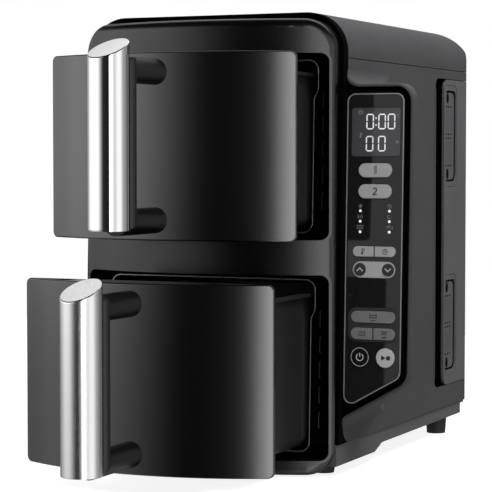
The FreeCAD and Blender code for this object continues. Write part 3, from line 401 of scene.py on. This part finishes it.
def loop(x, z, radius, width):
    """Closed round line."""
    return stroke(disc(x, z, radius, LOOP_STEPS), width, closed=True)


def oval(x, z, half_width, half_height):
    return [(x + half_width * u, z + half_height * v) for u, v in disc(0.0, 0.0, 1.0)]


def bar(x, z, width, height):
    return [(x - width / 2, z - height / 2), (x + width / 2, z - height / 2),
            (x + width / 2, z + height / 2), (x - width / 2, z + height / 2)]


def rounded(left, right, half_height, corner):
    """Upright rectangle with round corners."""
    high = half_height - corner
    middles = [(right - corner, high), (left + corner, high),
               (left + corner, -high), (right - corner, -high)]
    points = []
    for quarter, (x, z) in enumerate(middles):
        points += arc(x, z, corner, 90 * quarter, 90 * quarter + 90, CORNER_STEPS)
    return points


# Marks on the panel and its keys: thin prisms that follow the panel's rake

RAKE_DEG = 1.98
RAKE = math.tan(math.radians(RAKE_DEG))
CLOCK_HANDS = (0.6, 0.5)
BULB_SHARE = 0.2
TICK_REACH = 2.2
TICK_HEIGHTS = (0.05, 0.25, 0.45)
STEM_WIDER = 1.6


def add_marks(name, node, body, look, outlines, lift=0.0):
    """Thin raised shapes on a node's front, placed from the middle of the node."""
    low, high = corners(node)
    middle_x = (low.x + high.x) / 2
    middle_z = (low.z + high.z) / 2

    def place(point, proud):
        z = middle_z + point[1] * MM
        y = low.y + (z - low.z) * RAKE - proud * MM
        return (middle_x + point[0] * MM, y, z)

    build = bmesh.new()
    add_prisms(build, outlines, place, MARK_PROUD + lift)
    piece = mesh_object(name, build, look)
    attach(piece, body)


def clock(x, z, radius, width):
    hands = [(x, z + radius * CLOCK_HANDS[0]), (x, z), (x + radius * CLOCK_HANDS[1], z)]
    return [loop(x, z, radius, width), stroke(hands, width)]


def thermometer(x, z, height, width):
    bulb = height * BULB_SHARE
    foot = z - height / 2 + bulb
    shapes = [disc(x, foot, bulb), stroke([(x, foot), (x, z + height / 2)], width * STEM_WIDER)]
    for share in TICK_HEIGHTS:
        tick_z = z + height * share
        shapes.append(stroke([(x + bulb, tick_z), (x + bulb * TICK_REACH, tick_z)], width))
    return shapes


# Read-outs of the display: noughts of lit bars, with small signs beside them

DIGIT = (6.7, 12.9)
DIGIT_BAR = 1.05
DIGIT_GAP = 0.25
TIME_LEFT = (-8.6, 1.9, 10.1)
TIME_LOW = 2.2
COLON_X = 0.0
COLON_DOT = (1.1, 1.3)
COLON_HEIGHTS = (0.28, 0.72)
HEAT_LEFT = (-8.8, 1.9)
HEAT_LOW = -16.0
READOUT_LINE = 0.45
# Across and up from the middle of the window, with a radius or a height last
READOUT_CLOCK = (-13.6, 16.5, 1.7)
READOUT_THERMOMETER = (-13.6, -2.6, 4.2)
READOUT_DRAWER = [(18.6, 14.0), (19.3, 14.6), (19.3, 11.6)]
READOUT_DRAWER_LINE = 0.5
READOUT_DEGREE = (18.6, -8.4, 1.0)


def lit_bar(x0, z0, x1, z1):
    """Lit bar with pointed ends between two corners of a numeral."""
    start = Vector((x0, z0))
    end = Vector((x1, z1))
    along = (end - start).normalized()
    across = Vector((-along.y, along.x)) * DIGIT_BAR / 2
    start = start + along * DIGIT_GAP
    end = end - along * DIGIT_GAP
    nib = along * DIGIT_BAR / 2
    return [start, start + nib - across, end - nib - across, end, end - nib + across, start + nib + across]


def nought(left, low):
    """The six lit bars of a nought."""
    inset = DIGIT_BAR / 2
    x0 = left + inset
    x1 = left + (DIGIT[0] - inset)
    z0 = low + inset
    z2 = low + (DIGIT[1] - inset)
    z1 = (z0 + z2) / 2
    ends = [(x0, z2, x1, z2), (x1, z2, x1, z1), (x1, z1, x1, z0),
            (x0, z0, x1, z0), (x0, z1, x0, z0), (x0, z2, x0, z1)]
    return [lit_bar(*points) for points in ends]


def add_display_marks():
    lit = []
    for left in TIME_LEFT:
        lit += nought(left, TIME_LOW)
    for left in HEAT_LEFT:
        lit += nought(left, HEAT_LOW)
    lit += [bar(COLON_X, TIME_LOW + DIGIT[1] * share, *COLON_DOT) for share in COLON_HEIGHTS]
    add_marks("display_digits", "display_window", "housing", "mark_lit", lit)
    signs = clock(*READOUT_CLOCK, READOUT_LINE)
    signs += thermometer(*READOUT_THERMOMETER, READOUT_LINE)
    signs += [stroke(READOUT_DRAWER, READOUT_DRAWER_LINE), loop(*READOUT_DEGREE, READOUT_LINE)]
    add_marks("display_signs", "display_window", "housing", "mark_soft", signs)


# Signs on the keys, from the middle of a key; bars are across, up, width and height

SIGN_LINE = 0.55
ONE = [(-1.1, 1.9), (0.35, 2.7), (0.35, -2.7)]
ONE_LINE = 0.9
ONE_EDGE_LINE = 1.7
ONE_LIFT = 0.04
TWO = arc(0.0, 1.2, 1.45, 160, -35, 14) + [(-1.65, -2.5), (1.8, -2.5)]
TWO_LINE = 0.95
KEY_THERMOMETER = (-0.8, 0.0, 5.0)
KEY_CLOCK = (0.0, 0.0, 2.0)
CHEVRON = 2.6
CHEVRON_LINE = 0.95
TRAY = (3.0, 1.3)
TRAY_HEIGHTS = (-0.6, 1.6)
TRAY_BAR = (0.0, -2.9, 5.0, 0.5)
FINISH_LINES = (-3.0, 2.2)
FINISH_HEIGHTS = (-1.1, 1.1)
FINISH_BAR = (3.0, 0.0, SIGN_LINE, 4.6)
SAME_BARS = [(0.0, 0.3, 5.0, 0.7), (0.0, 1.9, 5.0, 0.7), (0.0, -2.7, 4.0, 0.9)]
POWER_R = 3.0
POWER_ARC = (125, 415)
POWER_STEM = (0.1, 1.15)
POWER_LINE = 0.8
POWER_RING = (7.6, 0.5)
PLAY = [(-3.4, -2.2), (-3.4, 2.2), (0.2, 0.0)]
STOP = (2.6, 0.0, 3.2, 3.2)


def chevron(way):
    half_rise = CHEVRON / 2 * way
    return stroke([(-CHEVRON, -half_rise), (0.0, half_rise), (CHEVRON, -half_rise)], CHEVRON_LINE)


def tray(z):
    half, wall = TRAY
    return stroke([(-half, z + wall), (-half, z), (half, z), (half, z + wall)], SIGN_LINE)


def power_sign():
    stem = [(0.0, POWER_R * share) for share in POWER_STEM]
    turn = arc(0.0, 0.0, POWER_R, *POWER_ARC)
    return [stroke(turn, POWER_LINE), stroke(stem, POWER_LINE), loop(0.0, 0.0, *POWER_RING)]


def add_key_sign(name, key, look, outlines, lift=0.0):
    add_marks(name, key, key + "_body", look, outlines, lift)


def add_key_marks():
    add_key_sign("zone_1_edge", "zone_1_key", "print_and_slot_shade", [stroke(ONE, ONE_EDGE_LINE)])
    add_key_sign("zone_1_numeral", "zone_1_key", "mark_soft", [stroke(ONE, ONE_LINE)], ONE_LIFT)
    add_key_sign("zone_2_numeral", "zone_2_key", "print_and_slot_shade", [stroke(TWO, TWO_LINE)])
    add_key_sign("temperature_sign", "temperature_key", "print_and_slot_shade",
                 thermometer(*KEY_THERMOMETER, SIGN_LINE))
    add_key_sign("timer_sign", "timer_key", "print_and_slot_shade", clock(*KEY_CLOCK, SIGN_LINE))
    add_key_sign("up_sign", "up_key", "mark_white", [chevron(1)])
    add_key_sign("down_sign", "down_key", "mark_white", [chevron(-1)])
    trays = [tray(z) for z in TRAY_HEIGHTS]
    add_key_sign("stack_sign", "stack_key", "print_and_slot_shade", trays + [bar(*TRAY_BAR)])
    lines = [stroke([(x, z) for x in FINISH_LINES], SIGN_LINE) for z in FINISH_HEIGHTS]
    add_key_sign("finish_sign", "finish_together_key", "print_and_slot_shade", lines + [bar(*FINISH_BAR)])
    add_key_sign("same_sign", "same_settings_key", "print_and_slot_shade", [bar(*values) for values in SAME_BARS])
    add_key_sign("power_sign", "power_key", "mark_white", power_sign())
    add_key_sign("start_sign", "start_key", "print_and_slot_shade", [PLAY, bar(*STOP)])


# Signs above the lamps, one for each way of cooking

LAMP_R = 1.1
MODE_RISE = 3.9
MODE_LINE = 0.4
FAN_BLADES = 5
FAN_R = 1.7
BLADE_STEPS = 8
WAVE_COUNT = 3
WAVE_SIZE = (5.0, 3.0)
WAVE_SWING = 0.35
WAVE_STEPS = 6
OVEN = (5.0, 2.8)
OVEN_SHELF = 3.2
DIAL_R = 1.5
DIAL_BAR = 1.2
TURN_ARC = (60, 360, 20)
TURN_HEAD = [(0.2, 1.9), (0.75, 1.3), (0.0, 0.9)]
SLICES = [(-1.6, 0.0, 0.9), (0.4, 0.7, 0.7), (2.2, -0.2, 0.9)]
SLICE_LINE = 0.35


def blades(x, z):
    """Curved blades round a hub."""
    lines = []
    half = FAN_R / 2
    for i in range(FAN_BLADES):
        start = 360 / FAN_BLADES * i
        blade_x = x + half * math.cos(math.radians(start))
        blade_z = z + half * math.sin(math.radians(start))
        lines.append(stroke(arc(blade_x, blade_z, half, start, start + 180, BLADE_STEPS), MODE_LINE))
    return lines


def waves(x, z):
    """Rising wavy lines side by side."""
    lines = []
    width, height = WAVE_SIZE
    for i in range(WAVE_COUNT):
        line_x = x + (i - (WAVE_COUNT - 1) / 2) * width / WAVE_COUNT
        line = []
        for step in range(WAVE_STEPS + 1):
            share = step / WAVE_STEPS
            line.append((line_x + WAVE_SWING * math.sin(2 * math.pi * share), z + height * (share - 0.5)))
        lines.append(stroke(line, MODE_LINE))
    return lines


def add_mode_marks():
    low, high = corners("mode_lamps")
    right = (high.x - low.x) / 2 / MM - LAMP_R
    left = -right
    half_z = (high.z - low.z) / 2 / MM - LAMP_R
    top, middle, bottom = (z + MODE_RISE for z in (half_z, 0.0, -half_z))
    signs = blades(left, top) + waves(left, middle)
    signs += [stroke(bar(left, bottom, *OVEN), MODE_LINE, closed=True)]
    signs += [bar(left, bottom, OVEN_SHELF, MODE_LINE)]
    signs += [loop(right, top, DIAL_R, MODE_LINE), bar(right, top, DIAL_BAR, MODE_LINE)]
    signs += [stroke(arc(right, middle, DIAL_R, *TURN_ARC), MODE_LINE)]
    signs += [stroke([(right + x, middle + z) for x, z in TURN_HEAD], MODE_LINE)]
    signs += [loop(right + x, bottom + z, radius, SLICE_LINE) for x, z, radius in SLICES]
    add_marks("mode_signs", "mode_lamps", "housing", "mark_soft", signs)


# Vent inserts in the ears, from the middle of an insert

# Left, right, half height and corner radius
VENT_PLATE = (-18.2, 18.2, 48.2, 8.7)
VENT_POCKET = (-16.6, 16.6, 43.4, 7.2)
# Inner edge of the ring of painted shade in the gap at the foot of the rim
VENT_GAP_INSIDE = (-16.3, 13.2, 41.4, 6.0)
VENT_THICK = 1.0
VENT_RIM_PROUD = 1.3
# Holes and pinholes, drawn as dark ovals of painted shade
VENT_HOLE_X = -5.5
VENT_HOLE_Z = 36.0
VENT_HOLE_HALF = (3.6, 5.0)
PINHOLE_HALF = (1.9, 0.85)
PINHOLE_ACROSS = (-9.0, -2.5, 4.0)
PINHOLE_ROWS = (28.0, 1.9, -1.9, -28.0)
# Painted shade lines in the slots of the inserts
SLOT_SHADE_LINE = 0.8
SLOT_SHADE_MIDDLE = 15.0
SLOT_SHADE_LENGTH = 21.0
SLOT_SHADE_ACROSS = (-13.0, -9.0, -5.0, -1.0, 3.0, 7.0)


def vent_hole_shades():
    """Painted shade: a dark ring in the gap inside the rim, and dark ovals in a hole near each end and in
    rows of pinholes.
    """
    holes = [(rounded(*VENT_POCKET), rounded(*VENT_GAP_INSIDE))]
    holes += [oval(VENT_HOLE_X, z, *VENT_HOLE_HALF) for z in (-VENT_HOLE_Z, VENT_HOLE_Z)]
    for z in PINHOLE_ROWS:
        holes += [oval(x, z, *PINHOLE_HALF) for x in PINHOLE_ACROSS]
    return holes


def vent_slot_shades():
    """Painted shade in the slots: fine dark upright lines above and below the middle."""
    slot_shades = []
    for x in SLOT_SHADE_ACROSS:
        slot_shades += [bar(x, z, SLOT_SHADE_LINE, SLOT_SHADE_LENGTH) for z in (-SLOT_SHADE_MIDDLE, SLOT_SHADE_MIDDLE)]
    return slot_shades


def add_vents(name, side):
    """The two inserts of one ear: plates with a raised rim, painted shade in their gap and holes, and
    painted shade lines in their slots.
    """
    node = name + "_vent_grilles"
    low, high = corners(node)
    face = high.x if side > 0 else low.x
    middle_y = (low.y + high.y) / 2
    half_height = VENT_PLATE[2] * MM
    plate = rounded(*VENT_PLATE)
    rim = (plate, rounded(*VENT_POCKET))
    plates = bmesh.new()
    holes = bmesh.new()
    slot_shades = bmesh.new()
    for middle_z in (high.z - half_height, low.z + half_height):

        def place(point, proud):
            return (face + side * proud * MM, middle_y + point[0] * MM, middle_z + point[1] * MM)

        add_prisms(plates, [plate], place, 0.0, -VENT_THICK)
        add_prisms(plates, [rim], place, VENT_RIM_PROUD, -VENT_THICK / 2)
        add_prisms(holes, vent_hole_shades(), place)
        add_prisms(slot_shades, vent_slot_shades(), place)
    insert = mesh_object(name + "_vent_inserts", plates, "trim_plastic")
    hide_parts(node)
    # Painted shade in the gap and the holes
    dark = mesh_object(name + "_vent_hole_shades", holes, "painted_hole_shade")
    # Painted shade lines in the slots
    lines = mesh_object(name + "_vent_slot_shades", slot_shades, "print_and_slot_shade")
    for piece in (insert, dark, lines):
        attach(piece, "housing")


# Painted highlights on the front edges of the ribs on the raked wall beside each cavity

RIB_COUNT = 5
RIB_LOW = 31.0
RIB_PITCH = 21.0
RIB_OUT = 3.6
RIB_WALL_Y = -48.5
RIB_WALL_Z = 200.0
RIB_EDGE = [(1.0, 7.0), (0.0, 5.8), (0.0, -5.8), (1.0, -7.0)]
RIB_LINE = 0.7


def add_rib_marks(level):
    liner_low, liner_high = corners(level + "_liner")
    base = corners(level + "_drawer_front")[0].z
    build = bmesh.new()
    for side, edge in ((-1, liner_low.x), (1, liner_high.x)):
        for i in range(RIB_COUNT):
            middle_z = base + (RIB_LOW + i * RIB_PITCH) * MM

            def place(point, proud):
                z = middle_z + point[1] * MM
                y = RIB_WALL_Y * MM + (z - RIB_WALL_Z * MM) * RAKE - proud * MM
                return (edge + side * (RIB_OUT + point[0]) * MM, y, z)

            add_prisms(build, [stroke(RIB_EDGE, RIB_LINE)], place)
    # Lighter strokes: painted highlights on the rib edges
    piece = mesh_object(level + "_rib_highlights", build, "painted_rib_highlight")
    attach(piece, "housing")


# Floor and lamps

FLOOR_HALF = 1.1
FLOOR_MIDDLE = (0.0, 0.1, -0.0002)
FLOOR_GREY = (0.4, 0.4, 0.4)
FLOOR_ROUGH = 0.9
FLOOR_GLOW = 0.88

# Degrees from the front towards the right, metres, and watts
LAMPS = {
    "right_softbox": dict(azimuth_deg=62.0, distance=0.95, height=1.45, size=(0.9, 0.8), power=18.0,
                          aim_height=0.35),
    "left_softbox": dict(azimuth_deg=-75.0, distance=1.7, height=1.0, size=(1.4, 1.2), power=18.0),
    "back_softbox": dict(azimuth_deg=190.0, distance=1.6, height=0.9, size=(1.4, 1.2), power=13.0),
    "top_softbox": dict(azimuth_deg=100.0, distance=0.5, height=1.3, size=(0.8, 0.8), power=7.0),
}


def add_floor():
    """Pale floor that takes the object's shadow and glows towards the camera alone."""
    mesh = bpy.data.meshes.new("floor")
    build = bmesh.new()
    bmesh.ops.create_grid(build, x_segments=1, y_segments=1, size=FLOOR_HALF)
    bmesh.ops.translate(build, verts=build.verts, vec=FLOOR_MIDDLE)
    build.to_mesh(mesh)
    build.free()
    floor = bpy.data.objects.new("floor", mesh)
    bpy.context.scene.collection.objects.link(floor)
    material, tree, shader = new_material("floor")
    feed(tree, shader, {
        "Base Color": shade(FLOOR_GREY),
        "Roughness": FLOOR_ROUGH,
        "Specular IOR Level": 0.0,
    })
    plain = shader.outputs["BSDF"]
    glow = add_node(tree, "ShaderNodeEmission", {"Strength": FLOOR_GLOW}).outputs["Emission"]
    both = add_node(tree, "ShaderNodeAddShader", {0: plain, 1: glow}).outputs["Shader"]
    to_camera = add_node(tree, "ShaderNodeLightPath").outputs["Is Camera Ray"]
    pick = add_node(tree, "ShaderNodeMixShader", {"Fac": to_camera, 1: plain, 2: both})
    feed(tree, tree.nodes["Material Output"], {"Surface": pick.outputs["Shader"]})
    mesh.materials.append(material)
    floor.visible_glossy = False


def add_softbox(name, azimuth_deg, distance, height, size, power, aim_height=0.2):
    """Soft lamp that points at the object's middle line and isn't mirrored in shiny surfaces."""
    lamp = bpy.data.lights.new(name, "AREA")
    lamp.shape = "RECTANGLE"
    lamp.size = size[0]
    lamp.size_y = size[1]
    lamp.energy = power
    turn = math.radians(azimuth_deg)
    place = Vector((math.sin(turn) * distance, -math.cos(turn) * distance, height))
    box = bpy.data.objects.new(name, lamp)
    box.location = place
    aim = Vector((0.0, 0.0, aim_height)) - place
    box.rotation_euler = aim.to_track_quat("-Z", "Y").to_euler()
    box.visible_glossy = False
    bpy.context.scene.collection.objects.link(box)


# Surroundings

# Brightness that shiny surfaces see round the object, by degrees from the front towards the right
SURROUND = [
    (-180, 0.17), (-112, 0.17), (-100, 0.4), (-80, 0.45), (-72, 0.64), (-40, 0.57),
    (-27, 0.33), (-19, 0.18), (-12, 0.06), (-5, 0.01), (22, 0.004), (25.5, 0.03),
    (28.5, 0.55), (31, 1.5), (36, 1.4), (42, 0.55), (52, 0.3), (62, 0.3),
    (72, 0.43), (92, 0.43), (110, 0.17), (130, 0.11), (160, 0.11), (180, 0.17),
]
# Fades go by the upward part of a direction of length one, and CEILING_BEHIND by its backward part
SURROUND_FADE = (0.25, 0.6)
SURROUND_LEVELS = (2.4, 0.05)
LEFT_FADE = (-0.08, -0.04)
LEFT_LEVELS = (0.4, 1.0)
CEILING_FADE = (0.52, 0.64)
CEILING_BEHIND = (0.3, 0.5)
CEILING = 1.3
FILL = 0.15
WHITE = (1.0, 1.0, 1.0)


def surround_level(tree, x, y):
    """Brightness by the way round the object that a direction points."""
    turn = compute(tree, "ARCTAN2", x, compute(tree, "MULTIPLY", y, -1.0))
    ramp = add_node(tree, "ShaderNodeValToRGB", {"Fac": spread(tree, turn, (-math.pi, math.pi))})
    stops = ramp.color_ramp.elements
    shares = [(degrees + 180.0) / 360.0 for degrees, _ in SURROUND]
    for share in shares[1:-1]:
        stops.new(share)
    for stop, share, (_, level) in zip(stops, shares, SURROUND):
        stop.position = share
        stop.color = shade(WHITE, level)
    return ramp.outputs["Color"]


def studio_level(tree):
    """Upright panels and gaps that fade upwards, dimmed low on the left, and a ceiling behind."""
    direction = add_node(tree, "ShaderNodeTexCoord").outputs["Generated"]
    x, y, z = add_node(tree, "ShaderNodeSeparateXYZ", {"Vector": direction}).outputs
    fade = spread(tree, z, SURROUND_FADE, SURROUND_LEVELS, "SMOOTHSTEP")
    panels = compute(tree, "MULTIPLY", surround_level(tree, x, y), fade)
    on_right = compute(tree, "GREATER_THAN", x, 0.0)
    dim = compute(tree, "MAXIMUM", spread(tree, z, LEFT_FADE, LEFT_LEVELS), on_right)
    above = spread(tree, z, CEILING_FADE, kind="SMOOTHSTEP")
    behind = spread(tree, y, CEILING_BEHIND, (0.0, CEILING), "SMOOTHSTEP")
    ceiling = compute(tree, "MULTIPLY", above, behind)
    return compute(tree, "MAXIMUM", compute(tree, "MULTIPLY", panels, dim), ceiling)


def add_world():
    """White for the camera, a dim even fill, and a studio for shiny surfaces."""
    world = bpy.data.worlds.new("surroundings")
    bpy.context.scene.world = world
    world.use_nodes = True
    tree = world.node_tree
    rays = add_node(tree, "ShaderNodeLightPath").outputs
    light = mix(tree, rays["Is Glossy Ray"], FILL, studio_level(tree))
    seen = compute(tree, "MAXIMUM", rays["Is Camera Ray"], rays["Is Transmission Ray"])
    strength = mix(tree, seen, light, 1.0)
    feed(tree, tree.nodes["Background"], {"Color": shade(WHITE), "Strength": strength})


add_camera()
dress_nodes()
add_handle("upper", "chrome")
add_handle("lower", "chrome_satin")
add_vents("right", 1)
add_vents("left", -1)
for level in ("upper", "lower"):
    add_rib_marks(level)
add_display_marks()
add_key_marks()
add_mode_marks()
add_floor()
for name, values in LAMPS.items():
    add_softbox(name, **values)
add_world()
bpy.context.scene.view_settings.view_transform = "Standard"
